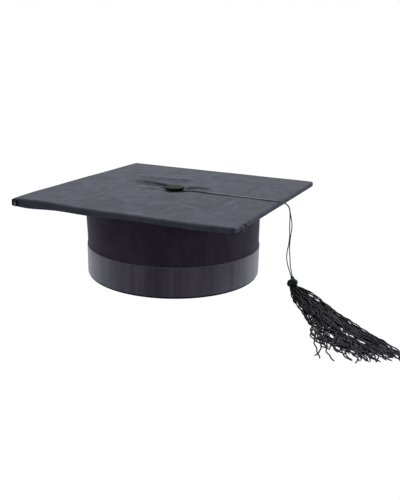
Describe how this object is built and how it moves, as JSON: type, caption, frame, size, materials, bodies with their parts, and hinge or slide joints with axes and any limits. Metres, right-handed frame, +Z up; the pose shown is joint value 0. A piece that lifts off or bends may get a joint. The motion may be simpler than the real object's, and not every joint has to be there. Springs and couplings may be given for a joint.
{
  "type": "graduation cap",
  "caption": "Square academic cap: a stiff cloth-covered board on a round crown with a satin ribbon band, a covered button, and a doubled cord that carries a yarn tassel.",
  "frame": {"origin": "centre of the crown's bottom rim, on the surface the cap stands on", "axes": "+Z up through the button, +X towards the board edge the cord crosses, board sides along X and Y"},
  "size_m": [0.3874, 0.2584, 0.0938],
  "materials": {
    "board_cloth": "matte brushed black twill, greying where light grazes it",
    "crown_cloth": "matte black cloth",
    "satin": "black satin ribbon with fine upright ribs and a soft sheen",
    "cord": "thin twisted black rayon cord",
    "yarn": "black twisted rayon yarn, silky",
    "card": "grey pulp card",
    "wadding": "pale needled wadding",
    "lining": "smooth black lining",
    "sweatband": "ribbed black grosgrain",
    "metal": "plain pressed steel"
  },
  "bodies": {
    "cap": {"board_cover": "board_cloth", "board_wadding": "wadding", "board_core": "card", "board_facing": "crown_cloth", "button_cover": "crown_cloth", "button_shell": "metal", "button_back": "metal", "button_shank": "metal", "button_washer": "metal", "crown_cloth": "crown_cloth", "crown_top_cloth": "crown_cloth", "crown_stiffener": "card", "crown_top_disc": "card", "satin_band": "satin", "satin_band_lap": "satin", "crown_lining": "lining", "sweatband": "sweatband"},
    "cord_run": {"cord_loop": "cord", "cord_run_left": "cord", "cord_run_right": "cord"},
    "cord_drop": {"cord_drop_left": "cord", "cord_drop_right": "cord"},
    "tassel": {"tassel_knot": "yarn", "tassel_head": "yarn", "tassel_neck": "cord", "tassel_skirt": "yarn"}
  },
  "joints": [
    {"name": "tassel_turn", "type": "hinge", "parent": "cap", "child": "cord_run", "pos_m": [0, 0, 0.0905], "axis": [0, 0, 1], "range_deg": [0, 180], "deforming": ["cord_run_left", "cord_run_right", "cord_drop_left", "cord_drop_right"]},
    {"name": "cord_swing", "type": "hinge", "parent": "cord_run", "child": "cord_drop", "pos_m": [0.1204, -0.002, 0.09185], "axis": [0, -1, 0], "range_deg": [0, 75], "deforming": ["cord_drop_left", "cord_drop_right"]},
    {"name": "tassel_hang", "type": "hinge", "parent": "cord_drop", "child": "tassel", "pos_m": [0.14, -0.0077, 0.018], "axis": [0.775, 0.632, 0], "range_deg": [0, 70]}
  ]
}
